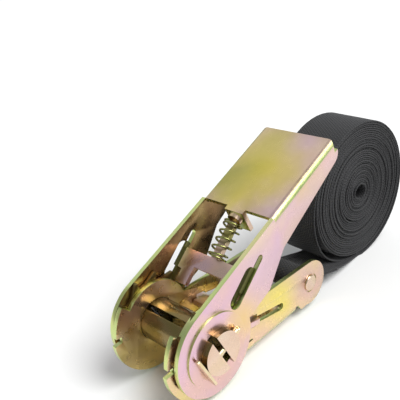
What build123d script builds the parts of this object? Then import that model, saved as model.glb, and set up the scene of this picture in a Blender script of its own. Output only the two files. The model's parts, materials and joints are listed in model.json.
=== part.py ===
from build123d import *

import os
from math import acos, asin, atan, cos, degrees, radians, sin, sqrt, tan

# A 25 mm ratchet strap: a plated sheet-steel ratchet buckle with one webbing
# strap, which is sewn round the buckle's bar and rolled up beside it.
# The part stands on Z = 0 and lies along X; the drum turns about an axis
# parallel to Y. "Near" is -Y and "far" is +Y.

os.makedirs("parts", exist_ok=True)

# ---- driving dimensions, millimetres and degrees ----

# webbing
strap_width = 25.0
strap_thickness = 1.0
coil_radius = 35.2
coil_hole = 3.2
coil_reach = 115.3  # from the drum axis to the coil axis, along the floor
coil_offset = 2.7  # the coil lies this far to the far side
coil_yaw = -3.8

# frame, a U of sheet steel
frame_play = 2.0  # more than the webbing's width, between the side plates
frame_plate = 1.9
frame_lean = 6.1  # its X axis falls this much towards the bar
lobe_radius = 22.0  # foot of the side plate, below the drum
crest_radius = 21.0  # cam that holds the pawl out of the teeth
track_radius = 16.2  # cam that lets the pawl drop into the teeth
lock_radius = 18.4  # bottom of the notch for the open handle
track_start = 20.0
track_end = 144.0
crest_end = 179.0
lock_end = 187.0
lobe_end = 313.0
bar_reach = 64.3  # drum axis to bar
bar_drop = 1.5
bar_lobe_radius = 10.3
top_edge_slope = 3.7
web_slope = 6.3
web_depth = 18.2  # below the drum axis, at the drum
web_start = 20.0
web_end = 54.0
bend_radius = 3.0
frame_slot_angle = -5.0
frame_slot_start = 22.2
frame_slot_end = 45.0
frame_slot_width = 3.2
window_length = 5.4
window_width = 5.4
pierced_hole_radius = 2.7
pierced_hole_reach = 26.6
pierced_hole_angle = -28.0
lug_reach = 49.0  # the lug that backs the frame pawl's spring
lug_width = 9.0
lug_top = 3.6  # above the pawl's plane
nick_width = 2.6
nick_depth = 3.2

# drum, two half-round shafts
drum_radius = 8.8
drum_slot = 2.6
drum_angle = 120.0  # direction of the slot
drum_stickout = 2.9
pin_radius = 1.3
pin_leg_length = 8.5
pin_leg_thickness = 1.1
pin_eye_radius = 0.8
pin_eye_wire = 0.55

# ratchet wheels
tooth_count = 12
tooth_tip_radius = 19.5
tooth_root_radius = 16.0
wheel_plate = 1.5
tooth_land = 3.0  # degrees

# handle, a U of sheet steel
handle_angle = 28.1  # above the frame's X axis
handle_plate = 1.9
handle_radius = 19.5
handle_length = 95.0
top_start = 49.4
tip_depth = 8.3
tip_round = 5.0
back_knee = (48.0, 3.8)
back_heel = (33.2, -5.1)
boss_radius = 15.0
boss_rise = 1.0
tab_width = 9.5
tab_length = 10.6
tab_lead = 2.2  # the tab is bent down this far in front of the grip
grip_corner = 3.0  # rounding of the grip's corners, seen from above
collar_radius = 3.1
collar_wall = 0.5
collar_length = 1.8
slot_angle = 18.3  # of the pawl's slot, above the handle's own axis
slot_start = 15.6
slot_wide_end = 33.0
slot_end = 39.0
slot_narrow = 3.0
slot_wide = 6.4

# handle pawl
pawl_plate = 2.4
pawl_tip = 16.5
pawl_bar_low = 24.5
pawl_bar_high = 31.0
pawl_leg_inside = 7.5  # half the gap between its legs
pawl_travel = 3.4
pawl_ear_top = 33.5
pawl_ear_reach = 0.9  # into the handle's plates
stem_width = 3.8

# frame pawl
frame_pawl_travel = 2.5  # further back from the teeth
frame_pawl_bar = 8.0
frame_pawl_tail = 2.1  # the stem sticks out this far behind the lug

# springs
spring_radius = 3.75  # of the wire's centre line
spring_wire = 0.9
spring_seat_gap = 0.8  # a tilted seat stays this far from the last coil's centre line
handle_spring_turns = 5.0
frame_spring_turns = 5.0

# bar
bar_radius = 3.0
bar_head_radius = 3.7
bar_head_height = 1.1
bar_head_round = 0.6
sleeve_wall = 1.4
dimple_radius = 4.4
dimple_depth = 0.5

# sewn loop
loop_length = 27.0
seam_length = 17.0
stitch_rows = 5
stitch_length = 2.6
stitch_gap = 0.9
stitch_width = 0.7
stitch_rise = 0.25

# clearances
side_play = 0.15  # between plates that turn past each other
running_fit = 0.1
assembled_fit = 0.05
pawl_clearance = 0.3
loop_slack = 0.4

# ---- worked out from the driving dimensions ----

frame_inner = (strap_width + frame_play) / 2
frame_outer = frame_inner + frame_plate
wheel_inner = frame_outer + side_play
wheel_outer = wheel_inner + wheel_plate
handle_inner = wheel_outer + side_play
handle_outer = handle_inner + handle_plate
boss_outer = handle_outer + boss_rise
drum_half = boss_outer + drum_stickout
pin_y = boss_outer + pin_radius + side_play

yaw = radians(coil_yaw)
coil_half_x = coil_radius * cos(yaw) + strap_width / 2 * abs(sin(yaw))
drum_x = -(coil_reach + coil_half_x - lobe_radius) / 2
drum_z = lobe_radius

tooth_pitch = 360.0 / tooth_count
pawl_direction = handle_angle + slot_angle
top_slope = radians(top_edge_slope)
under_slope = radians(web_slope)


def side(y, turn=0.0):
    """Upright plane at y, its origin on the drum axis and its x turned from the frame's own X."""
    a = radians(turn - frame_lean)
    return Plane(origin=(drum_x, y, drum_z), x_dir=(cos(a), 0, sin(a)), z_dir=(0, -1, 0))


def across(turn, lift=0.0):
    """Plane through the drum axis: x runs away from the drum at the angle turn, y along +Y."""
    a = radians(turn - frame_lean)
    up = (-sin(a), 0, cos(a))
    origin = (drum_x + up[0] * lift, 0, drum_z + up[2] * lift)
    return Plane(origin=origin, x_dir=(cos(a), 0, sin(a)), z_dir=up)


def square_to(turn, reach, lift=0.0):
    """Plane square to the direction turn, at the distance reach: x along +Y, y upwards."""
    a = radians(turn - frame_lean)
    along = (cos(a), 0, sin(a))
    x = drum_x + along[0] * reach - sin(a) * lift
    z = drum_z + along[2] * reach + cos(a) * lift
    return Plane(origin=(x, 0, z), x_dir=(0, 1, 0), z_dir=along)


def polar(radius, angle):
    return (radius * cos(radians(angle)), radius * sin(radians(angle)))


def rows(outer, thickness):
    """The y where each of two mirrored plates starts, for an extrusion towards -Y."""
    return (outer, -(outer - thickness))


def sector(radius, start, end):
    """A pie slice with its point on the drum axis."""
    with BuildSketch() as slice_face:
        with BuildLine():
            Line((0, 0), polar(radius, start))
            CenterArc((0, 0), radius, start, end - start)
            Line(polar(radius, end), (0, 0))
        make_face()
    return slice_face.sketch


def save(part, name):
    part.label = name
    export_step(part, f"parts/{name}.step")


# ---- frame ----


def under_edge(x):
    """Height of the web's underside in the frame's own axes."""
    return -web_depth + x * tan(under_slope)


def top_edge(x):
    """Height of the arm's top edge, a tangent of the bar's lobe."""
    lobe_top_x = bar_reach - bar_lobe_radius * sin(top_slope)
    lobe_top = -bar_drop + bar_lobe_radius * cos(top_slope)
    return lobe_top + (x - lobe_top_x) * tan(top_slope)


def frame_profile():
    """Side plate of the frame: cam, foot, arm and bar lobe, with its holes."""
    arm_start = track_radius * cos(radians(track_start))
    foot_end = lobe_radius * cos(radians(lobe_end))
    nick_x = web_end + nick_width / 2
    slot_length = frame_slot_end - frame_slot_start
    slot_middle = polar(frame_slot_start + slot_length / 2, frame_slot_angle)
    window_middle = polar(frame_slot_start + window_length / 2, frame_slot_angle)
    with BuildSketch() as profile:
        Circle(track_radius)
        add(sector(crest_radius, track_end, crest_end))
        add(sector(lock_radius, crest_end, lock_end))
        add(sector(lobe_radius, lock_end, lobe_end))
        with BuildLine():
            Polyline(
                (0, 0),
                (arm_start, top_edge(arm_start)),
                (bar_reach, top_edge(bar_reach)),
                (bar_reach, under_edge(bar_reach)),
                (nick_x + nick_width, under_edge(nick_x)),
                (nick_x, under_edge(nick_x) + nick_depth),
                (web_end, under_edge(web_end) + bend_radius),
                (web_start, under_edge(web_start) + bend_radius),
                (web_start, under_edge(web_start)),
                (foot_end, under_edge(foot_end)),
                close=True,
            )
        make_face()
        with Locations((bar_reach, -bar_drop)):
            Circle(bar_lobe_radius)
            Circle(bar_radius + assembled_fit, mode=Mode.SUBTRACT)
        Circle(drum_radius + running_fit, mode=Mode.SUBTRACT)
        with Locations(polar(pierced_hole_reach, pierced_hole_angle)):
            Circle(pierced_hole_radius, mode=Mode.SUBTRACT)
        with Locations(Location(slot_middle, frame_slot_angle)):
            SlotOverall(slot_length, frame_slot_width, mode=Mode.SUBTRACT)
        with Locations(Location(window_middle, frame_slot_angle)):
            Rectangle(window_length, window_width, mode=Mode.SUBTRACT)
    return profile.sketch


def channel(width, wall, depth, outer_round):
    """U section: a base at y = 0 with both walls rising to depth."""
    with BuildSketch() as inside:
        with Locations((0, wall + depth / 2)):
            Rectangle(width - 2 * wall, depth)
        fillet(inside.vertices().group_by(Axis.Y)[0], outer_round - wall)
    with BuildSketch() as section:
        with Locations((0, depth / 2)):
            Rectangle(width, depth)
        fillet(section.vertices().group_by(Axis.Y)[0], outer_round)
        add(inside.sketch, mode=Mode.SUBTRACT)
    return section.sketch


web_turn = degrees(under_slope)
web_length = (web_end - web_start) / cos(under_slope)

with BuildPart() as frame:
    for y in rows(frame_outer, frame_plate):
        with BuildSketch(side(y)):
            add(frame_profile())
        extrude(amount=frame_plate)
    along_web = web_start / cos(under_slope) - web_depth * sin(under_slope)
    with BuildSketch(square_to(web_turn, along_web, -web_depth * cos(under_slope))):
        add(channel(2 * frame_outer, frame_plate, bend_radius + frame_plate, bend_radius))
    extrude(amount=web_length)
    # the lug stands up from the web, behind the frame pawl's spring
    lug_foot = under_edge(lug_reach) + frame_plate / 2
    lug_height = lug_reach * sin(radians(frame_slot_angle)) + lug_top - lug_foot
    with BuildSketch(square_to(0, lug_reach)) as lug_face:
        with Locations((0, lug_foot + lug_height / 2)):
            Rectangle(lug_width, lug_height)
        with Locations((0, lug_reach * sin(radians(frame_slot_angle)))):
            Rectangle(stem_width + 2 * pawl_clearance, pawl_plate + 2 * pawl_clearance, mode=Mode.SUBTRACT)
    extrude(amount=frame_plate)
    # shallow dimples that the bar's heads sit in
    for y in (frame_outer, -frame_outer + dimple_depth):
        with BuildSketch(side(y)):
            with Locations((bar_reach, -bar_drop)):
                Circle(dimple_radius)
        extrude(amount=dimple_depth, mode=Mode.SUBTRACT)

# ---- handle ----

handle_depth = bend_radius + handle_plate


def handle_profile():
    """Side plate of the handle in the handle's own axes: disc, straight front edge, kneed back edge."""
    wide_length = slot_wide_end - slot_start
    wide_shift = (slot_wide - slot_narrow) / 2
    wide_reach = (slot_wide_end + slot_start) / 2
    narrow_start = slot_start + slot_narrow
    narrow_middle = polar((slot_end + narrow_start) / 2, slot_angle)
    turn = radians(slot_angle)
    wide_middle = (
        wide_reach * cos(turn) - wide_shift * sin(turn),
        wide_reach * sin(turn) + wide_shift * cos(turn),
    )
    with BuildSketch() as blade:
        with BuildLine():
            Polyline(
                (0, handle_radius),
                (top_start, handle_radius),
                (top_start, handle_radius - bend_radius),
                (handle_length, handle_radius - bend_radius),
                (handle_length, handle_radius - tip_depth),
                back_knee,
                back_heel,
                (0, back_heel[1]),
                close=True,
            )
        make_face()
        tip = blade.vertices().sort_by(Axis.X)[-2:].sort_by(Axis.Y)[0]
        fillet(tip, tip_round)
    with BuildSketch() as profile:
        Circle(handle_radius)
        add(blade.sketch)
        Circle(drum_radius + running_fit, mode=Mode.SUBTRACT)
        with Locations(Location(wide_middle, slot_angle)):
            SlotOverall(wide_length, slot_wide, mode=Mode.SUBTRACT)
        # the narrow end guides the pawl
        with Locations(Location(narrow_middle, slot_angle)):
            SlotOverall(slot_end - narrow_start, slot_narrow, mode=Mode.SUBTRACT)
    return profile.sketch


tab_face = top_start - tab_lead
spring_line = tab_face * tan(radians(slot_angle))

with BuildPart() as handle:
    for y in rows(handle_outer, handle_plate):
        with BuildSketch(side(y, handle_angle)):
            add(handle_profile())
        extrude(amount=handle_plate)
    grip = square_to(handle_angle, top_start, handle_radius)
    grip_down = Plane(origin=grip.origin, x_dir=(0, -1, 0), z_dir=grip.z_dir)
    with BuildSketch(grip_down):
        add(channel(2 * handle_outer, handle_plate, handle_depth, bend_radius))
    extrude(amount=handle_length - top_start)
    for y in rows(boss_outer, boss_rise):
        with BuildSketch(side(y, handle_angle)):
            Circle(boss_radius)
            Circle(drum_radius + running_fit, mode=Mode.SUBTRACT)
        extrude(amount=boss_rise)
    # the tab bends down in front of the grip and backs the pawl's spring
    with BuildSketch(square_to(handle_angle, tab_face)):
        with Locations((0, handle_radius - handle_plate / 2)):
            Rectangle(tab_width, handle_plate)
    extrude(amount=tab_lead + bend_radius)
    with BuildSketch(square_to(handle_angle, tab_face)):
        with Locations((0, handle_radius - tab_length / 2)):
            Rectangle(tab_width, tab_length)
        with Locations((0, spring_line)):
            Circle(collar_radius - collar_wall, mode=Mode.SUBTRACT)
    extrude(amount=handle_plate)
    # a collar drawn out of the tab centres the spring
    with BuildSketch(square_to(handle_angle, tab_face)):
        with Locations((0, spring_line)):
            Circle(collar_radius)
            Circle(collar_radius - collar_wall, mode=Mode.SUBTRACT)
    extrude(amount=-collar_length)
    # the grip's two corners are rounded
    corner_x = handle_length - grip_corner
    corner_y = handle_outer - grip_corner
    with BuildSketch(across(handle_angle, handle_radius)):
        with Locations((corner_x + grip_corner / 2, 0)):
            Rectangle(grip_corner, 2 * handle_outer)
            Rectangle(grip_corner, 2 * corner_y, mode=Mode.SUBTRACT)
        with Locations((corner_x, corner_y), (corner_x, -corner_y)):
            Circle(grip_corner, mode=Mode.SUBTRACT)
    extrude(amount=-handle_depth, mode=Mode.SUBTRACT)

# ---- drum ----

pin_hole_radius = pin_radius + assembled_fit


def half_round(radius, gap):
    """Half disc above the slot, in a sketch whose x runs along the slot."""
    start = degrees(asin(gap / 2 / radius))
    with BuildSketch() as half:
        with BuildLine():
            CenterArc((0, 0), radius, start, 180 - 2 * start)
            Line(polar(radius, 180 - start), polar(radius, start))
        make_face()
    return half.sketch


for name, turn in (("drum_shaft_lower", 0), ("drum_shaft_upper", 180)):
    with BuildPart() as shaft:
        with BuildSketch(side(drum_half, drum_angle + turn)):
            add(half_round(drum_radius, drum_slot))
        extrude(amount=2 * drum_half)
        with BuildSketch(across(drum_angle)) as pin_holes:
            with Locations((0, pin_y), (0, -pin_y)):
                Circle(pin_hole_radius)
        extrude(amount=drum_radius, both=True, mode=Mode.SUBTRACT)
    save(shaft.part, name)

# ---- ratchet wheels ----

root_land = degrees((pawl_plate + 2 * pawl_clearance) / tooth_root_radius)
face_lead = degrees(asin((pawl_plate / 2 + pawl_clearance / 2) / tooth_root_radius))
first_face = pawl_direction + face_lead


def ratchet_teeth():
    """Saw teeth: a radial face that the pawl drives, and a slope that lifts the pawl."""
    corners = []
    for tooth in range(tooth_count):
        face = first_face + tooth * tooth_pitch
        corners.append(polar(tooth_root_radius, face))
        corners.append(polar(tooth_tip_radius, face))
        corners.append(polar(tooth_tip_radius, face + tooth_land))
        corners.append(polar(tooth_root_radius, face + tooth_pitch - root_land))
    with BuildSketch() as teeth:
        with BuildLine():
            Polyline(*corners, close=True)
        make_face()
    return teeth.sketch


for name, y in zip(("ratchet_wheel_far", "ratchet_wheel_near"), rows(wheel_outer, wheel_plate)):
    with BuildPart() as wheel:
        with BuildSketch(side(y)):
            add(ratchet_teeth())
        extrude(amount=wheel_plate)
        for turn in (0, 180):
            with BuildSketch(side(y, drum_angle + turn)):
                add(half_round(drum_radius + assembled_fit, drum_slot - 2 * assembled_fit))
            extrude(amount=wheel_plate, mode=Mode.SUBTRACT)
    save(wheel.part, name)

# ---- split pins ----

leg_middle = drum_radius + assembled_fit + pin_leg_thickness / 2

for name, y in (("split_pin_far", pin_y), ("split_pin_near", -pin_y)):
    with BuildPart() as pin:
        with BuildSketch(across(drum_angle, drum_radius + pin_leg_thickness)):
            with Locations((0, y)):
                Circle(pin_radius)
        extrude(amount=-2 * drum_radius - pin_leg_thickness - pin_radius)
        # the two legs, opened flat against the lower half shaft
        with BuildSketch(across(drum_angle, leg_middle - pin_leg_thickness / 2)):
            with Locations((0, y)):
                SlotOverall(2 * pin_leg_length, 2 * pin_radius)
        extrude(amount=pin_leg_thickness)
        # the eye
        eye_foot = across(drum_angle, -drum_radius - pin_radius - pin_eye_radius + pin_eye_wire)
        eye = Plane(origin=eye_foot.origin + Vector(0, y, 0), x_dir=(0, 1, 0), z_dir=eye_foot.x_dir)
        with Locations(eye.location):
            Torus(pin_eye_radius, pin_eye_wire)
    save(pin.part, name)

# ---- handle pawl ----

pawl_ear = handle_inner + pawl_ear_reach
pawl_over_frame = lobe_radius + pawl_clearance
stem_end = (tab_face - collar_length) / cos(radians(slot_angle)) - pawl_clearance


def mirrored_rectangle(low, high, inner, outer):
    """A rectangle on each side of the middle plane, from low to high away from the drum."""
    with Locations(((low + high) / 2, (inner + outer) / 2), ((low + high) / 2, -(inner + outer) / 2)):
        Rectangle(high - low, outer - inner)


with BuildPart() as handle_pawl:
    with BuildSketch(across(pawl_direction)):
        with Locations(((pawl_bar_low + pawl_bar_high) / 2, 0)):
            Rectangle(pawl_bar_high - pawl_bar_low, 2 * pawl_ear)
        mirrored_rectangle(pawl_tip, pawl_bar_low, pawl_leg_inside, frame_inner - pawl_clearance)
        mirrored_rectangle(pawl_over_frame, pawl_bar_low, pawl_leg_inside, pawl_ear)
        mirrored_rectangle(pawl_tip, pawl_bar_low, frame_outer + pawl_clearance, handle_inner - side_play)
        mirrored_rectangle(pawl_bar_high, pawl_ear_top, handle_inner - 2 * side_play, pawl_ear)
        with Locations(((pawl_bar_high + stem_end) / 2, 0)):
            Rectangle(stem_end - pawl_bar_high, stem_width)
    extrude(amount=pawl_plate / 2, both=True)

# ---- frame pawl ----

frame_pawl_tip = tooth_tip_radius + pawl_clearance
frame_pawl_back = frame_pawl_tip + frame_pawl_bar
frame_pawl_ear = frame_slot_start + pawl_clearance
frame_stem_end = lug_reach + frame_plate + frame_pawl_tail

with BuildPart() as frame_pawl:
    with BuildSketch(across(frame_slot_angle)):
        with Locations(((frame_pawl_tip + frame_pawl_back) / 2, 0)):
            Rectangle(frame_pawl_bar, 2 * (frame_inner - pawl_clearance))
        mirrored_rectangle(frame_pawl_ear, frame_pawl_back, 0, wheel_outer)
        mirrored_rectangle(frame_pawl_tip, frame_pawl_back, frame_outer + side_play, wheel_outer)
        with Locations(((frame_pawl_tip + frame_stem_end) / 2, 0)):
            Rectangle(frame_stem_end - frame_pawl_tip, stem_width)
    extrude(amount=pawl_plate / 2, both=True)

# ---- springs ----


def spring_path(turn, start, end, turns):
    """Helix along the direction turn, from start to end away from the drum axis."""
    plane = square_to(turn, start + spring_wire / 2 + assembled_fit)
    height = end - start - spring_wire - 2 * assembled_fit
    return Helix(
        pitch=height / turns,
        height=height,
        radius=spring_radius,
        center=plane.origin,
        direction=plane.z_dir,
    )


def spring_stop(seat_reach, slant):
    """Where a spring along a slanting line ends, before a seat at seat_reach."""
    slope = radians(abs(slant))
    return seat_reach / cos(slope) - spring_radius * tan(slope) - spring_seat_gap


springs = {
    "handle_pawl_spring": (
        pawl_direction, pawl_bar_high, spring_stop(tab_face, slot_angle), handle_spring_turns
    ),
    "frame_pawl_spring": (
        frame_slot_angle, frame_pawl_back, spring_stop(lug_reach, frame_slot_angle), frame_spring_turns
    ),
}

for name, (turn, start, stop, turns) in springs.items():
    with BuildPart() as spring:
        with BuildLine() as wire:
            path = spring_path(turn, start, stop, turns)
            add(path)
        with BuildSketch(Plane(origin=path @ 0, z_dir=path % 0)):
            Circle(spring_wire / 2)
        sweep(path=wire.wires()[0], is_frenet=True)
    save(spring.part, name)

# ---- bar and sleeve ----

with BuildPart() as strap_bar:
    with BuildSketch(side(frame_outer)):
        with Locations((bar_reach, -bar_drop)):
            Circle(bar_radius)
    extrude(amount=2 * frame_outer)
    head_base = frame_outer - dimple_depth
    for y in (head_base + bar_head_height, -head_base):
        with BuildSketch(side(y)):
            with Locations((bar_reach, -bar_drop)):
                Circle(bar_head_radius)
        extrude(amount=bar_head_height)
    rims = strap_bar.edges().filter_by(GeomType.CIRCLE).sort_by(Axis.Y)
    fillet([rims[0], rims[-1]], bar_head_round)

sleeve_radius = bar_radius + assembled_fit + sleeve_wall

with BuildPart() as bar_sleeve:
    with BuildSketch(side(frame_inner - assembled_fit)):
        with Locations((bar_reach, -bar_drop)):
            Circle(sleeve_radius)
            Circle(bar_radius + assembled_fit, mode=Mode.SUBTRACT)
    extrude(amount=2 * (frame_inner - assembled_fit))

# ---- webbing ----

lean = radians(frame_lean)
bar_x = drum_x + bar_reach * cos(lean) - bar_drop * sin(lean)
bar_z = drum_z - bar_reach * sin(lean) - bar_drop * cos(lean)
coil_x = drum_x + coil_reach

loop_inner = sleeve_radius + loop_slack
loop_outer = loop_inner + strap_thickness
# the run ends where its upper edge meets the coil, which stands a little askew
coil_rise = strap_thickness + assembled_fit
coil_meets = sqrt(coil_radius**2 - (coil_radius - coil_rise) ** 2) + strap_width / 2 * sin(abs(yaw))
run_end_x = coil_x - coil_meets - assembled_fit
run_slope = atan((bar_z - strap_thickness / 2) / (run_end_x - bar_x))
seam_thickness = 2 * strap_thickness + assembled_fit


def strap_plane(y):
    """Upright plane at y whose x runs from the bar down to the floor at the coil."""
    return Plane(origin=(bar_x, y, bar_z), x_dir=(cos(run_slope), 0, -sin(run_slope)), z_dir=(0, -1, 0))


def teardrop(radius, point):
    """A circle round the bar with its two tangents to a point beyond it."""
    touch = degrees(acos(radius / point))
    with BuildSketch() as drop:
        with BuildLine():
            CenterArc((0, 0), radius, touch, 360 - 2 * touch)
            Line(polar(radius, -touch), (point, 0))
            Line((point, 0), polar(radius, touch))
        make_face()
    return drop.sketch


loop_point = loop_length - seam_length

with BuildPart() as webbing_loop:
    with BuildSketch(strap_plane(strap_width / 2)):
        add(teardrop(loop_outer, loop_point * loop_outer / loop_inner))
        with Locations((loop_length - seam_length / 2, 0)):
            Rectangle(seam_length, seam_thickness)
        add(teardrop(loop_inner, loop_point), mode=Mode.SUBTRACT)
    extrude(amount=strap_width)

run_length = (run_end_x - bar_x) / cos(run_slope) - strap_thickness / 2 * tan(run_slope)

with BuildPart() as webbing_run:
    with BuildSketch(strap_plane(strap_width / 2)):
        with Locations(((loop_length + run_length) / 2, 0)):
            Rectangle(run_length - loop_length, strap_thickness)
    extrude(amount=strap_width)

coil_plane = Plane(
    origin=(coil_x, coil_offset, coil_radius),
    x_dir=(cos(yaw), sin(yaw), 0),
    z_dir=(sin(yaw), -cos(yaw), 0),
)

with BuildPart() as webbing_coil:
    with BuildSketch(coil_plane):
        Circle(coil_radius)
        Circle(coil_hole, mode=Mode.SUBTRACT)
    extrude(amount=strap_width / 2, both=True)

stitch_pitch = stitch_length + stitch_gap
stitches_in_row = int(seam_length // stitch_pitch)
row_pitch = strap_width / (stitch_rows + 1)

with BuildPart() as loop_stitching:
    for face in (-1, 1):
        base = strap_plane(0)
        surface = Plane(
            origin=base.origin + base.y_dir * face * seam_thickness / 2,
            x_dir=base.x_dir,
            z_dir=base.y_dir * face,
        )
        with BuildSketch(surface):
            with Locations((loop_length - seam_length / 2, 0)):
                with GridLocations(stitch_pitch, row_pitch, stitches_in_row, stitch_rows):
                    SlotOverall(stitch_length, stitch_width)
        extrude(amount=stitch_rise)

for name, piece in {
    "frame": frame,
    "handle": handle,
    "handle_pawl": handle_pawl,
    "frame_pawl": frame_pawl,
    "strap_bar": strap_bar,
    "bar_sleeve": bar_sleeve,
    "webbing_loop": webbing_loop,
    "webbing_run": webbing_run,
    "webbing_coil": webbing_coil,
    "loop_stitching": loop_stitching,
}.items():
    save(piece.part, name)

print("drum axis", round(drum_x, 3), round(drum_z, 3))
print("bar", round(bar_x, 3), round(bar_z, 3), "coil", round(coil_x, 3))
print("travel of the handle's pawl", pawl_travel, "and of the frame's pawl", frame_pawl_travel)
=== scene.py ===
"""Looks of a 25 mm ratchet strap: a plated ratchet buckle and one rolled black webbing strap."""

import json
import math

import bmesh
import bpy
from mathutils import Matrix, Vector, noise


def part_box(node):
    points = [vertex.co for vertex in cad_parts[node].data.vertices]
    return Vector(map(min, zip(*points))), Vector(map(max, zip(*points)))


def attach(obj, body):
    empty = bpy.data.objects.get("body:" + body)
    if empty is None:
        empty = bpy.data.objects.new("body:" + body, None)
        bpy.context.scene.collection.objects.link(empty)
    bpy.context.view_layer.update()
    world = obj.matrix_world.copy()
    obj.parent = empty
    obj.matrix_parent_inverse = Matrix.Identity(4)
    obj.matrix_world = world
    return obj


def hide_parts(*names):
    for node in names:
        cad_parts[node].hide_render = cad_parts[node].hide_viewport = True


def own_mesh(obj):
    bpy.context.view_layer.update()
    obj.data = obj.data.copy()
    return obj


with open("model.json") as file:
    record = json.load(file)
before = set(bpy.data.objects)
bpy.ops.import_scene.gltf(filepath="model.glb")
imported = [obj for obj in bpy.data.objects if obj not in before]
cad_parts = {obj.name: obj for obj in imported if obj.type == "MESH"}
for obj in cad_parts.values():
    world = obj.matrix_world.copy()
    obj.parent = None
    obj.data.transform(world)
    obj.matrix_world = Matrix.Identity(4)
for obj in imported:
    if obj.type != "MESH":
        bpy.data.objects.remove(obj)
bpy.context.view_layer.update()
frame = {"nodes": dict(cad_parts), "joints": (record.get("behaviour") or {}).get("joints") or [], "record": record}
MM = 0.001

joints = {joint["name"]: joint for joint in frame["joints"]}
body_of = {
    name: body
    for body, names in frame["record"]["behaviour"]["bodies"].items()
    for name in names
}
drum_axis = Vector(joints["handle_swing"]["pos_m"])
bar_axis = Vector(joints["webbing_swing"]["pos_m"])

# ---- camera ----

BUCKLE_LEAN = math.radians(6.1)  # the buckle's own long axis falls this much
CAMERA_AZIMUTH = math.radians(-44.09)
CAMERA_HEIGHT = math.radians(21.81)
CAMERA_ROLL = math.radians(-3.16)
CAMERA_DISTANCE = 261.23 * MM
CAMERA_TARGET = Vector((34.26, 20.55, 38.64)) * MM  # from the drum, along the buckle's own axes
CAMERA_LENS = 55.4

backwards = Vector(
    (
        math.sin(CAMERA_AZIMUTH) * math.cos(CAMERA_HEIGHT),
        -math.cos(CAMERA_AZIMUTH) * math.cos(CAMERA_HEIGHT),
        math.sin(CAMERA_HEIGHT),
    )
)
rightwards = Vector((math.cos(CAMERA_AZIMUTH), math.sin(CAMERA_AZIMUTH), 0))
upwards = backwards.cross(rightwards)
axes = Matrix((rightwards, upwards, backwards)).transposed()
axes = axes @ Matrix.Rotation(CAMERA_ROLL, 3, "Z")
leaned = Matrix.Rotation(BUCKLE_LEAN, 3, "Y")
camera = bpy.data.objects.new("camera", bpy.data.cameras.new("camera"))
bpy.context.scene.collection.objects.link(camera)
camera.data.lens = CAMERA_LENS
camera.data.sensor_width = 36
camera.data.clip_start = 0.01
place = drum_axis + leaned @ (CAMERA_TARGET + backwards * CAMERA_DISTANCE)
camera.matrix_world = Matrix.Translation(place) @ (leaned @ axes).to_4x4()
bpy.context.scene.camera = camera

# ---- materials ----


def linear(code):
    """An sRGB hex code as linear colour."""
    parts = [int(code[i : i + 2], 16) / 255 for i in (1, 3, 5)]
    return [p / 12.92 if p <= 0.04045 else ((p + 0.055) / 1.055) ** 2.4 for p in parts] + [1]


def add(tree, kind, sockets=None, **settings):
    """Adds a node; sockets gives each input a value, or the output that is linked to it."""
    made = tree.nodes.new(kind)
    for key, value in settings.items():
        setattr(made, key, value)
    for key, value in (sockets or {}).items():
        if isinstance(value, bpy.types.NodeSocket):
            tree.links.new(value, made.inputs[key])
        else:
            made.inputs[key].default_value = value
    return made


def blended(tree, share, under, over):
    """The colour of under where share is 0 and of over where it is 1."""
    mixed = add(tree, "ShaderNodeMix", data_type="RGBA")
    for index, value in ((0, share), (6, under), (7, over)):
        if isinstance(value, bpy.types.NodeSocket):
            tree.links.new(value, mixed.inputs[index])
        else:
            mixed.inputs[index].default_value = value
    return mixed.outputs[2]


def begin(name):
    """A new material with its tree emptied, its shader and its output."""
    material = bpy.data.materials.new(name)
    material.use_nodes = True
    tree = material.node_tree
    tree.nodes.clear()
    shader = add(tree, "ShaderNodeBsdfPrincipled")
    add(tree, "ShaderNodeOutputMaterial", {"Surface": shader.outputs["BSDF"]})
    return material, tree, shader


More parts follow.
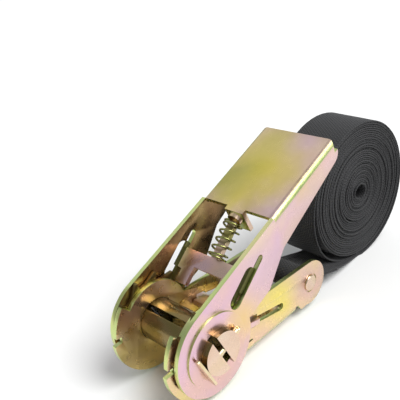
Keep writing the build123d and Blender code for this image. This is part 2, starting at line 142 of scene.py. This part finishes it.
def plated(name, ground, patches, roughness, grain):
    """Yellow chromate on zinc plated steel.

    The chromate film is a fraction of a micrometre thick and varies with how the piece drained,
    so its tint drifts between straw, rose and lilac over a few centimetres. Under it the rolled
    steel keeps a fine grain.
    patches are (centre in mm, reach in mm, colour, strength).
    """
    material, tree, shader = begin(name)
    place = add(tree, "ShaderNodeTexCoord").outputs["Object"]
    # drained film, 22 mm clouds
    cloud = add(
        tree,
        "ShaderNodeTexNoise",
        {"Vector": place, "Scale": 1 / (22 * MM), "Detail": 2.5, "Distortion": 0.6},
    )
    # each patch strays up to 8 mm from its round outline
    centred = add(
        tree,
        "ShaderNodeVectorMath",
        {0: cloud.outputs["Color"], 1: (0.5, 0.5, 0.5)},
        operation="SUBTRACT",
    )
    stray = add(tree, "ShaderNodeVectorMath", {0: centred.outputs[0], "Scale": 16 * MM}, operation="SCALE")
    strayed = add(tree, "ShaderNodeVectorMath", {0: place, 1: stray.outputs[0]}, operation="ADD")
    tint = add(tree, "ShaderNodeValToRGB", {"Fac": cloud.outputs["Fac"]})
    ramp = tint.color_ramp
    ramp.elements[0].position, ramp.elements[1].position = 0.30, 0.72
    ramp.elements[0].color, ramp.elements[1].color = linear(ground[0]), linear(ground[-1])
    ramp.elements.new(0.50).color = linear(ground[1])
    colour = tint.outputs["Color"]
    for centre, reach, code, strength in patches:
        away = add(
            tree,
            "ShaderNodeVectorMath",
            {0: strayed.outputs[0], 1: Vector(centre) * MM},
            operation="DISTANCE",
        )
        share = add(
            tree,
            "ShaderNodeMapRange",
            {
                "Value": away.outputs["Value"],
                "From Min": 0,
                "From Max": reach * MM,
                "To Min": strength,
                "To Max": 0,
            },
            interpolation_type="SMOOTHSTEP",
        )
        colour = blended(tree, share.outputs[0], colour, linear(code))
    # handling marks, 3 mm smudges that are duller
    smudge = add(tree, "ShaderNodeTexNoise", {"Vector": place, "Scale": 1 / (3 * MM), "Detail": 4})
    rough = add(
        tree,
        "ShaderNodeMapRange",
        {
            "Value": smudge.outputs["Fac"],
            "From Min": 0.3,
            "From Max": 0.7,
            "To Min": roughness - 0.05,
            "To Max": roughness + 0.07,
        },
    )
    # rolled grain, 0.35 mm, and a slight 9 mm unevenness of the sheet
    fine = add(tree, "ShaderNodeTexNoise", {"Vector": place, "Scale": 1 / (0.35 * MM), "Detail": 2})
    broad = add(tree, "ShaderNodeTexNoise", {"Vector": place, "Scale": 1 / (9 * MM), "Detail": 1})
    uneven = add(
        tree, "ShaderNodeBump", {"Height": broad.outputs["Fac"], "Strength": 0.06, "Distance": 0.10 * MM}
    )
    bumped = add(
        tree,
        "ShaderNodeBump",
        {
            "Height": fine.outputs["Fac"],
            "Strength": grain,
            "Distance": 0.012 * MM,
            "Normal": uneven.outputs["Normal"],
        },
    )
    tree.links.new(colour, shader.inputs["Base Color"])
    tree.links.new(rough.outputs[0], shader.inputs["Roughness"])
    tree.links.new(bumped.outputs["Normal"], shader.inputs["Normal"])
    shader.inputs["Metallic"].default_value = 1.0
    return material


ROSE, LILAC, STRAW, GOLD = "#E3C2B2", "#DDBDD0", "#E6D982", "#D6C65C"

handle_zinc = plated(
    "yellow_chromate_on_handle",
    ("#DDB9D0", "#E1BEC2", "#E6CDB2"),
    [
        ((-6, 5, 67), 38, GOLD, 1.0),
        ((-22, 4, 60), 20, GOLD, 0.8),
        ((9, 9, 75), 22, "#CBBE6C", 0.8),
        ((14, -8, 74), 12, LILAC, 0.6),
        ((-22, -18, 60), 13, LILAC, 0.6),
        ((-14, 16, 64), 22, "#A9A55C", 0.9),
        ((-36, -18, 42), 20, "#DDBFCB", 0.9),
        ((-50, -18, 26), 18, "#E9CB90", 1.0),
        ((-66, -18, 14), 22, "#DDB9AE", 0.9),
        ((-44, 18, 40), 30, "#A98C54", 0.85),
        ((-64, 18, 26), 22, "#9A7444", 0.8),
    ],
    0.30,
    0.30,
)
frame_zinc = plated(
    "yellow_chromate_on_frame",
    (ROSE, "#E4CC98", STRAW),
    [
        ((-24, -15, 16), 20, "#E8DC6C", 0.85),
        ((-1, -15, 14), 20, "#DDBAB2", 1.0),
        ((-42, -15, 10), 14, ROSE, 0.6),
        # painted light: the far plate's inner face, which little light reaches, is lifted to a light straw
        ((-66, 14, 10), 22, "#FBE08A", 1.0),
        ((-74, 14, 26), 16, ROSE, 0.6),
    ],
    0.29,
    0.35,
)
stem_middle = (drum_axis + Vector(joints["handle_pawl_pull"]["axis"]) * 42 * MM) / MM
pawl_zinc = plated(
    "yellow_chromate_on_pawls",
    (LILAC, ROSE, "#D9C4B0"),
    [(stem_middle, 15, "#8F8A4E", 1.0)],
    0.30,
    0.4,
)
# painted shade: the ratchet wheels, sitting between the plates, are given a dark olive brown
wheel_painted_shade = plated("yellow_chromate_painted_shade_on_wheels", ("#76683C", "#665434", "#7A7844"), [], 0.32, 0.5)
shaft_zinc = plated("yellow_chromate_on_drawn_bar", ("#D8B8A0", "#E0C8B4", "#D2C080"), [], 0.24, 0.3)
wire_zinc = plated("yellow_chromate_on_wire", ("#A09C62", "#8F9256", "#B3AC7C"), [], 0.26, 0.2)
pin_zinc = plated("yellow_chromate_on_pins", ("#D9C590", "#E2D2B0", "#CDBB86"), [], 0.28, 0.3)
# painted shade: the handle's inner faces, between its plates, are given a darker brownish olive
inner_painted_shade = plated("yellow_chromate_painted_shade_inside_handle", ("#A08A5C", "#8C6E4C", "#8E8452"), [], 0.28, 0.3)
# painted shade: the drum where it lies between the plates is given a dark olive
drum_painted_shade = plated("yellow_chromate_painted_shade_on_drum", ("#7A7242", "#86744E", "#6C6A3C"), [], 0.22, 0.3)
# painted shade: the pawl's ears in their slots are given a dark olive
ear_painted_shade = plated("yellow_chromate_painted_shade_in_slots", ("#6B6A3C", "#5C5A38", "#75703F"), [], 0.4, 0.4)
# painted highlight: the sheared and rounded edges are given a light yellowish green, as if lit
edge_painted_highlight = plated("yellow_chromate_painted_highlight_on_edges", ("#D3D98C", "#C6D68E", "#DCD79C"), [], 0.30, 0.5)


def woven(name, body_code, lit_code, end_pitch, pick_pitch):
    """Black polyester webbing: matt twisted yarns in a plain weave, with painted highlight on their crowns and
    painted shade between them.

    The UV map is in metres, across the strip and along it. Its yarns lie 1.1 mm apart across and
    1.4 mm along, about twice as coarse as the real ones, so that they show.
    """
    material, tree, shader = begin(name)
    lie = add(tree, "ShaderNodeUVMap").outputs["UV"]
    split = add(tree, "ShaderNodeSeparateXYZ", {0: lie})
    across = add(tree, "ShaderNodeMath", {0: split.outputs["X"], 1: end_pitch * MM}, operation="DIVIDE")
    along = add(tree, "ShaderNodeMath", {0: split.outputs["Y"], 1: pick_pitch * MM}, operation="DIVIDE")
    column = add(tree, "ShaderNodeMath", {0: across.outputs[0]}, operation="FLOOR")
    shifted = add(
        tree,
        "ShaderNodeMath",
        {0: column.outputs[0], 1: 0.5, 2: along.outputs[0]},
        operation="MULTIPLY_ADD",
    )
    turn = add(tree, "ShaderNodeMath", {0: shifted.outputs[0], 1: 2 * math.pi}, operation="MULTIPLY")
    crown = add(tree, "ShaderNodeMath", {0: turn.outputs[0]}, operation="SINE")
    inside = add(tree, "ShaderNodeMath", {0: across.outputs[0]}, operation="FRACT")
    arch = add(tree, "ShaderNodeMath", {0: inside.outputs[0], 1: math.pi}, operation="MULTIPLY")
    round_yarn = add(tree, "ShaderNodeMath", {0: arch.outputs[0]}, operation="SINE")
    height = add(
        tree,
        "ShaderNodeMath",
        {0: crown.outputs[0], 1: 0.5, 2: round_yarn.outputs[0]},
        operation="MULTIPLY_ADD",
    )
    fuzz = add(
        tree,
        "ShaderNodeTexNoise",
        {"Vector": add(tree, "ShaderNodeTexCoord").outputs["Object"], "Scale": 1 / (0.6 * MM), "Detail": 3},
    )
    rough_height = add(
        tree,
        "ShaderNodeMath",
        {0: fuzz.outputs["Fac"], 1: 0.5, 2: height.outputs[0]},
        operation="MULTIPLY_ADD",
    )
    level = add(
        tree,
        "ShaderNodeMapRange",
        {"Value": rough_height.outputs[0], "From Min": -0.2, "From Max": 1.7, "To Min": 0, "To Max": 1},
    )
    # painted highlight and shade: the yarns' crowns take the lighter colour and the hollows between them the
    # darker
    painted_weave_light = blended(tree, level.outputs[0], linear(body_code), linear(lit_code))
    bumped = add(
        tree, "ShaderNodeBump", {"Height": rough_height.outputs[0], "Strength": 0.8, "Distance": 0.16 * MM}
    )
    tree.links.new(painted_weave_light, shader.inputs["Base Color"])
    tree.links.new(bumped.outputs["Normal"], shader.inputs["Normal"])
    shader.inputs["Roughness"].default_value = 0.72
    shader.inputs["IOR"].default_value = 1.5
    shader.inputs["Sheen Weight"].default_value = 0.12
    shader.inputs["Sheen Roughness"].default_value = 0.45
    return material


webbing_cloth = woven("black_polyester_webbing", "#111112", "#2F2F31", 1.1, 1.4)
thread_cloth = woven("black_polyester_thread", "#1C1C1E", "#38383A", 0.4, 0.5)

# ---- metal pieces: each pressing with its edges eased by tumbling before it was plated ----


def deselect():
    bpy.ops.object.select_all(action="DESELECT")


def pick(piece):
    """Makes one piece the only one that an operator acts on."""
    deselect()
    piece.select_set(True)
    bpy.context.view_layer.objects.active = piece


ALONG_SHEET = 0.3  # a face whose normal leans less than this towards an axis is square to it
FLAT_ON = 0.95
WIDEST_ROUNDING = 0.25  # mm; wider rounded faces belong to the bends


def face_width(mesh, face):
    """Width of a long narrow face."""
    round_it = sum((mesh.vertices[a].co - mesh.vertices[b].co).length for a, b in face.edge_keys)
    return 2 * face.area / round_it


def sheared(piece, plates, base):
    """Gives the sheared edges of a pressing a painted highlight, a light yellowish green.

    plates is how far in mm the side plates' inner faces lie from the middle, and base is the
    upward direction of the sheet between them. The handle's inner faces get painted shade, a darker olive.
    """
    mesh = piece.data
    mesh.materials.append(edge_painted_highlight)
    mesh.materials.append(inner_painted_shade)
    for face in mesh.polygons:
        # painted shade: the handle's faces that look in towards its middle take the darker olive
        if piece.name == "handle_pressing" and face.normal.y * face.center.y < -0.9 * abs(face.center.y):
            face.material_index = 2
            continue
        outside = min(abs(mesh.vertices[i].co.y) for i in face.vertices) > (plates - 0.1) * MM
        sideways = abs(face.normal.y)
        on_plate = outside and sideways < ALONG_SHEET
        on_base = not outside and abs(face.normal @ base) < ALONG_SHEET and sideways < ALONG_SHEET
        leaning = outside and ALONG_SHEET <= sideways < FLAT_ON
        # painted highlight on the sheared edges and on the narrow rounded faces
        if on_plate or on_base or (leaning and face_width(mesh, face) < WIDEST_ROUNDING * MM):
            face.material_index = 1


def eased(node, name, width, finish):
    """A copy of a CAD node with its edges rounded."""
    pick(frame["nodes"][node])
    bpy.ops.object.duplicate()
    piece = bpy.context.active_object
    piece.name = name
    piece.parent = None
    pick(piece)
    bpy.ops.object.mode_set(mode="EDIT")
    bpy.ops.mesh.select_all(action="SELECT")
    bpy.ops.mesh.remove_doubles(threshold=0.004 * MM)
    bpy.ops.mesh.dissolve_limited(angle_limit=math.radians(0.5))
    if node in ENDS and ENDS[node][1]:
        for side in (-1, 1):
            bpy.ops.mesh.select_all(action="SELECT")
            bpy.ops.mesh.bisect(plane_co=(0, side * ENDS[node][0] * MM, 0), plane_no=(0, 1, 0))
    bpy.ops.object.mode_set(mode="OBJECT")
    bevel = piece.modifiers.new("eased", "BEVEL")
    bevel.width = width * MM
    bevel.segments = 2
    bevel.limit_method = "ANGLE"
    bevel.angle_limit = math.radians(38)
    bpy.ops.object.modifier_apply(modifier="eased")
    bpy.ops.object.shade_smooth_by_angle(angle=math.radians(32))
    piece.data.materials.clear()
    piece.data.materials.append(finish)
    if node in PRESSED:
        sheared(piece, *PRESSED[node])
    if node in ENDS:
        end, beyond, painted_shade_finish = ENDS[node]
        piece.data.materials.append(painted_shade_finish)
        # painted shade on the faces that ENDS names
        for face in piece.data.polygons:
            if (abs(face.center.y) > end * MM) == beyond:
                face.material_index = 1
    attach(piece, body_of[node])
    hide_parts(node)
    return piece


HANDLE_RISE = math.radians(28.1) - BUCKLE_LEAN
WEB_RISE = math.radians(6.3) - BUCKLE_LEAN
# where the side plates' inner faces lie in mm from the middle, and which way the sheet between faces
PRESSED = {
    "frame": (13.5, Vector((-math.sin(WEB_RISE), 0, math.cos(WEB_RISE)))),
    "handle": (17.2, Vector((-math.sin(HANDLE_RISE), 0, math.cos(HANDLE_RISE)))),
}
# (distance in mm from the middle, whether it is beyond it, finish of the faces there): painted shade,
# a dark olive on the pawl's ears in their slots and on the drum where it lies between the plates
ENDS = {
    "handle_pawl": (15.5, True, ear_painted_shade),
    "drum_shaft_lower": (20, False, drum_painted_shade),
    "drum_shaft_upper": (20, False, drum_painted_shade),
}
EASED = {
    "frame": ("frame_pressing", 0.22, frame_zinc, "plated_sheet"),
    "handle": ("handle_pressing", 0.22, handle_zinc, "plated_sheet"),
    "handle_pawl": ("handle_pawl_blank", 0.18, pawl_zinc, "plated_sheet"),
    "frame_pawl": ("frame_pawl_blank", 0.18, pawl_zinc, "plated_sheet"),
    "ratchet_wheel_near": ("near_wheel_blank", 0.14, wheel_painted_shade, "plated_sheet"),
    "ratchet_wheel_far": ("far_wheel_blank", 0.14, wheel_painted_shade, "plated_sheet"),
    "drum_shaft_lower": ("lower_half_shaft", 0.25, shaft_zinc, "plated_shaft"),
    "drum_shaft_upper": ("upper_half_shaft", 0.25, shaft_zinc, "plated_shaft"),
}
for node, (name, width, finish, slot) in EASED.items():
    eased(node, name, width, finish)

for node, finish in {
    "strap_bar": shaft_zinc,
    "bar_sleeve": shaft_zinc,
    "split_pin_near": pin_zinc,
    "split_pin_far": pin_zinc,
}.items():
    cad_node = frame["nodes"][node]
    for index in range(len(cad_node.material_slots)):
        cad_node.material_slots[index].material = finish

# ---- springs, wound with closed ends ----

SPRING_RADIUS = 3.75
SPRING_WIRE = 0.9
STEPS_PER_TURN = 28


def wound(name, node, joint, start, stop, turns):
    """A coil spring from start to stop, in mm from the drum's axis along the joint's axis."""
    deselect()
    bpy.ops.mesh.primitive_circle_add(
        vertices=12,
        radius=SPRING_WIRE / 2 * MM,
        location=(SPRING_RADIUS * MM, 0, 0),
        rotation=(math.pi / 2, 0, 0),
    )
    spring = bpy.context.active_object
    spring.name = name
    bpy.ops.object.transform_apply(location=True, rotation=True, scale=True)
    screw = spring.modifiers.new("wound", "SCREW")
    screw.angle = turns * 2 * math.pi
    screw.screw_offset = 1.0  # long, so that every ring of the wire can be told apart
    steps = int(turns * STEPS_PER_TURN)
    screw.steps = screw.render_steps = steps
    screw.use_merge_vertices = True
    bpy.ops.object.modifier_apply(modifier="wound")
    mesh = bmesh.new()
    mesh.from_mesh(spring.data)
    # rise of the wire: the first and last turn lie close, the turns between share the rest
    length = (stop - start - SPRING_WIRE) * MM
    close = SPRING_WIRE * 1.04 * MM
    for vert in mesh.verts:
        share = round(vert.co.z * steps) / steps  # 0 to 1 along the wire
        turn = share * turns
        if turn < 1:
            rise = turn * close
        elif turn > turns - 1:
            rise = length - (turns - turn) * close
        else:
            ease = (turn - 1) / (turns - 2)
            rise = close + ease * (length - 2 * close)
        vert.co.z = rise + (vert.co.z - share)
    bmesh.ops.holes_fill(mesh, edges=[e for e in mesh.edges if e.is_boundary])
    bmesh.ops.recalc_face_normals(mesh, faces=mesh.faces)
    along = Vector(joint["axis"]).normalized()
    turned = along.to_track_quat("Z", "X").to_matrix().to_4x4()
    foot = drum_axis + along * (start + SPRING_WIRE / 2) * MM
    mesh.transform(Matrix.Translation(foot) @ turned)
    mesh.to_mesh(spring.data)
    mesh.free()
    pick(spring)
    bpy.ops.object.shade_smooth_by_angle(angle=math.radians(50))
    spring.data.materials.append(wire_zinc)
    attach(spring, body_of[node])
    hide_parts(node)
    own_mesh(spring)
    return spring


wound("handle_spring", "handle_pawl_spring", joints["handle_pawl_pull"], 31.0, 47.6, 6.0)
wound("frame_spring", "frame_pawl_spring", joints["frame_pawl_pull"], 27.8, 48.0, 6.0)

# ---- webbing: one strip, sewn round the bar, run to the floor and rolled up ----

STRAP_WIDTH = 25.0
STRAP_THICKNESS = 0.80
COIL_RADIUS = 35.2
COIL_PITCH = 1.0
COIL_TURNS = 31
COIL_YAW = math.radians(-3.8)
LOOP_RADIUS = 5.35  # of the strip's middle, round the bar
SEAM_START, SEAM_END = 10.5, 27.0  # from the bar, along the strip
SEAM_HALF = 0.5  # the two layers lie this far from the seam's middle

coil_low, coil_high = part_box("webbing_coil")
coil_middle = (coil_low + coil_high) / 2
coil_meets = math.sqrt(COIL_RADIUS**2 - (COIL_RADIUS - 1.05) ** 2) - STRAP_WIDTH / 2 * math.sin(COIL_YAW)
floor_run = coil_middle.x / MM - coil_meets
run_slope = math.atan((bar_axis.z / MM - 0.5) / (floor_run - bar_axis.x / MM))


def on_strap(along, above):
    """A point of the strip's middle line, from its place along the run and above it."""
    return Vector(
        (
            bar_axis.x / MM + along * math.cos(run_slope) + above * math.sin(run_slope),
            0,
            bar_axis.z / MM - along * math.sin(run_slope) + above * math.cos(run_slope),
        )
    )


def hermite(a, b, slope_a, slope_b, t):
    """A smooth way from a to b that leaves and arrives with the given slopes."""
    return (
        a * (2 * t**3 - 3 * t**2 + 1)
        + slope_a * (t**3 - 2 * t**2 + t)
        + b * (3 * t**2 - 2 * t**3)
        + slope_b * (t**3 - t**2)
    )


BULGE, BULGE_ANGLE, BULGE_WIDTH = 2.2, 224, 34  # of the outer turn, in mm and degrees
# (turn where it begins, gap in mm, angle and width in degrees) of each place that has slackened
SLACK = ((1.05, 0.5, 222, 62), (3.2, 0.7, 165, 70), (19.0, 0.6, 250, 80))


def turned_from(angle, middle):
    """Angle from the middle of a place, between -180 and 180 degrees."""
    return (angle - middle + 180) % 360 - 180


def loose(turns, angle):
    """How far the strip lies inside a perfect spiral, which it leaves where the roll slackened."""
    outer = math.exp(-((turned_from(angle, BULGE_ANGLE) / BULGE_WIDTH) ** 2)) if turns < 1 else 0
    inward = -BULGE * outer
    for first, gap, middle, width in SLACK:
        if turns <= first:
            continue
        lobe = math.exp(-((turned_from(angle, middle) / width) ** 2) * 2)
        begun = min((turns - first) / 0.25, 1)
        fade = 1 - (turns - first) / (COIL_TURNS - first)
        inward += gap * lobe * begun * fade
    return inward


def strip_line():
    """The strip's middle line as (point, sideways direction), in mm."""
    side = Vector((0, 1, 0))
    line = []
    touch = math.degrees(math.acos(LOOP_RADIUS / (SEAM_START + 3)))
    for step in range(10):
        line.append((on_strap(SEAM_END - (SEAM_END - SEAM_START) * step / 9, -SEAM_HALF), side))
    for step in range(41):
        angle = math.radians(-touch - (360 - 2 * touch) * step / 40)
        line.append((on_strap(LOOP_RADIUS * math.cos(angle), LOOP_RADIUS * math.sin(angle)), side))
    for step in range(12):
        line.append((on_strap(SEAM_START + (SEAM_END - SEAM_START) * step / 11, SEAM_HALF), side))
    start, _ = line[-1]
    coil = coil_middle / MM
    end = Vector((coil.x, coil.y, STRAP_THICKNESS / 2 + 0.05))
    reach = (end - start).length
    leaving = Vector((math.cos(run_slope), 0, -math.sin(run_slope))) * reach
    arriving = Vector((math.cos(COIL_YAW), math.sin(COIL_YAW), 0)) * reach
    coil_side = Vector((-math.sin(COIL_YAW), math.cos(COIL_YAW), 0))
    for step in range(1, 16):
        t = step / 16
        point = Vector(hermite(start[i], end[i], leaving[i], arriving[i], t) for i in range(3))
        point.z = max(point.z, STRAP_THICKNESS / 2 + 0.05)
        line.append((point, side.lerp(coil_side, t).normalized()))
    per_turn = 56
    along = Vector((math.cos(COIL_YAW), math.sin(COIL_YAW), 0))
    for step in range(COIL_TURNS * per_turn + 1):
        turns = step / per_turn
        angle = -90 + 360 * turns
        radius = COIL_RADIUS - 0.5 - COIL_PITCH * turns - loose(turns, angle)
        # the turns were rolled up unevenly, quickly from layer to layer and slowly over the roll
        wobble = noise.noise(Vector((turns * 3.1, 0.3, 7.7))) * 0.9
        wobble += noise.noise(Vector((turns * 0.9, 4.1, 2.2))) * 0.6
        a = math.radians(angle)
        point = Vector((coil.x, coil.y, COIL_RADIUS)) + along * radius * math.cos(a)
        point += Vector((0, 0, radius * math.sin(a))) + coil_side * wobble
        line.append((point, coil_side))
    return line


def strip_section():
    """The strip's section, edge to edge: (across, above) in mm, with rounded selvages."""
    half, thick = STRAP_WIDTH / 2, STRAP_THICKNESS / 2
    upper = [(half, 0), (half - 0.12, thick * 0.62), (half - 0.45, thick), (half - 1.8, thick * 0.94)]
    upper += [(4.0, thick), (-4.0, thick)]
    upper += [(-x, z) for x, z in reversed(upper[:4])]
    lower = [(x, -z) for x, z in reversed(upper[1:-1])]
    return upper + lower


def webbing_strip():
    """The whole strip, swept along its middle line, and its length."""
    line = strip_line()
    section = strip_section()
    mesh = bmesh.new()
    lie = mesh.loops.layers.uv.new("weave")
    rings, marks = [], []
    travelled = 0.0
    for index, (point, side) in enumerate(line):
        before = line[max(index - 1, 0)][0]
        after = line[min(index + 1, len(line) - 1)][0]
        ahead = (after - before).normalized()
        above = side.cross(ahead) * -1
        above.normalize()
        if index:
            travelled += (point - before).length
        rings.append([mesh.verts.new((point + side * x + above * z) * MM) for x, z in section])
        marks.append(travelled)
    round_it = [0.0]
    for (x, z), (x2, z2) in zip(section, section[1:] + section[:1]):
        round_it.append(round_it[-1] + math.hypot(x2 - x, z2 - z))
    count = len(section)
    for index in range(len(rings) - 1):
        for k in range(count):
            k2 = (k + 1) % count
            ring, following = rings[index], rings[index + 1]
            face = mesh.faces.new((ring[k], ring[k2], following[k2], following[k]))
            corners = (
                (round_it[k], marks[index]),
                (round_it[k + 1], marks[index]),
                (round_it[k + 1], marks[index + 1]),
                (round_it[k], marks[index + 1]),
            )
            for loop, (u, v) in zip(face.loops, corners):
                loop[lie].uv = (u * MM, v * MM)
    for ring in (rings[0], rings[-1]):
        mesh.faces.new(ring)
    bmesh.ops.recalc_face_normals(mesh, faces=mesh.faces)
    data = bpy.data.meshes.new("webbing_strip")
    mesh.to_mesh(data)
    mesh.free()
    strip = bpy.data.objects.new("webbing_strip", data)
    bpy.context.scene.collection.objects.link(strip)
    pick(strip)
    bpy.ops.object.shade_smooth_by_angle(angle=math.radians(50))
    data.materials.append(webbing_cloth)
    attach(strip, "webbing")
    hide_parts("webbing_loop", "webbing_run", "webbing_coil")
    return strip, travelled * MM


strip, strip_length = webbing_strip()

# ---- stitching: five rows through both layers of the seam ----

STITCH_ROWS = 5
STITCH_PITCH = 3.5
STITCH_LENGTH = 2.6


def stitching():
    """The rows of stitches on both faces of the seam, each stitch a flattened bead of thread."""
    deselect()
    bpy.ops.mesh.primitive_uv_sphere_add(segments=10, ring_count=8, radius=1)
    thread = bpy.context.active_object
    thread.name = "seam_stitching"
    seed = thread.data.copy()
    mesh = bmesh.new()
    across = Vector((0, 1, 0))
    ahead = Vector((math.cos(run_slope), 0, -math.sin(run_slope)))
    above = Vector((math.sin(run_slope), 0, math.cos(run_slope)))
    row_pitch = STRAP_WIDTH / (STITCH_ROWS + 1)
    for face in (-1, 1):
        for row in range(STITCH_ROWS):
            for column in range(4):
                along = (SEAM_START + SEAM_END) / 2 - 0.25 + (column - 1.5) * STITCH_PITCH
                spot = on_strap(along, face * (SEAM_HALF + STRAP_THICKNESS / 2))
                spot += across * (row - (STITCH_ROWS - 1) / 2) * row_pitch
                turned = Matrix((ahead * STITCH_LENGTH / 2, across * 0.36, above * 0.3)).transposed() * MM
                copy = bmesh.new()
                copy.from_mesh(seed)
                copy.transform(Matrix.Translation(spot * MM) @ turned.to_4x4())
                placed = bpy.data.meshes.new("stitch")
                copy.to_mesh(placed)
                copy.free()
                mesh.from_mesh(placed)
                bpy.data.meshes.remove(placed)
    bmesh.ops.recalc_face_normals(mesh, faces=mesh.faces)
    mesh.to_mesh(thread.data)
    mesh.free()
    pick(thread)
    bpy.ops.object.shade_smooth()
    thread.data.materials.append(thread_cloth)
    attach(thread, "webbing")
    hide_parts("loop_stitching")
    return thread


seam = stitching()

# ---- stage ----

deselect()
bpy.ops.mesh.primitive_plane_add(size=6, location=(0, 0, -0.0002))
floor = bpy.context.active_object
floor.name = "floor"
paper, tree, shader = begin("matt_white_paper")
shader.inputs["Base Color"].default_value = linear("#F6F6F5")
shader.inputs["Roughness"].default_value = 0.9
floor.data.materials.append(paper)

world = bpy.data.worlds.new("studio")
bpy.context.scene.world = world
world.use_nodes = True
world.node_tree.nodes["Background"].inputs["Color"].default_value = (0.95, 0.97, 1.0, 1)
world.node_tree.nodes["Background"].inputs["Strength"].default_value = 0.42
bpy.context.scene.view_settings.view_transform = "Standard"


def softbox(name, place, aim, size, power):
    """A square lamp at a place, turned to what it lights."""
    lamp = bpy.data.lights.new(name, "AREA")
    lamp.size = size
    lamp.energy = power
    box = bpy.data.objects.new(name, lamp)
    bpy.context.scene.collection.objects.link(box)
    toward = Vector(aim) - Vector(place)
    box.matrix_world = Matrix.Translation(place) @ toward.to_track_quat("-Z", "Y").to_matrix().to_4x4()


LIT = (0, 0, 0.03)
softbox("back_panel", (0.22, 0.68, 0.75), LIT, 0.9, 1.15)
softbox("side_panel", (0.35, -0.95, 0.16), LIT, 0.8, 1.5)
daylight = bpy.data.lights.new("window_light", "SUN")
daylight.energy = 2.9
daylight.angle = math.radians(40)
window = bpy.data.objects.new("window_light", daylight)
bpy.context.scene.collection.objects.link(window)
window.matrix_world = Vector((0.2, -0.56, 0.8)).to_track_quat("Z", "Y").to_matrix().to_4x4()
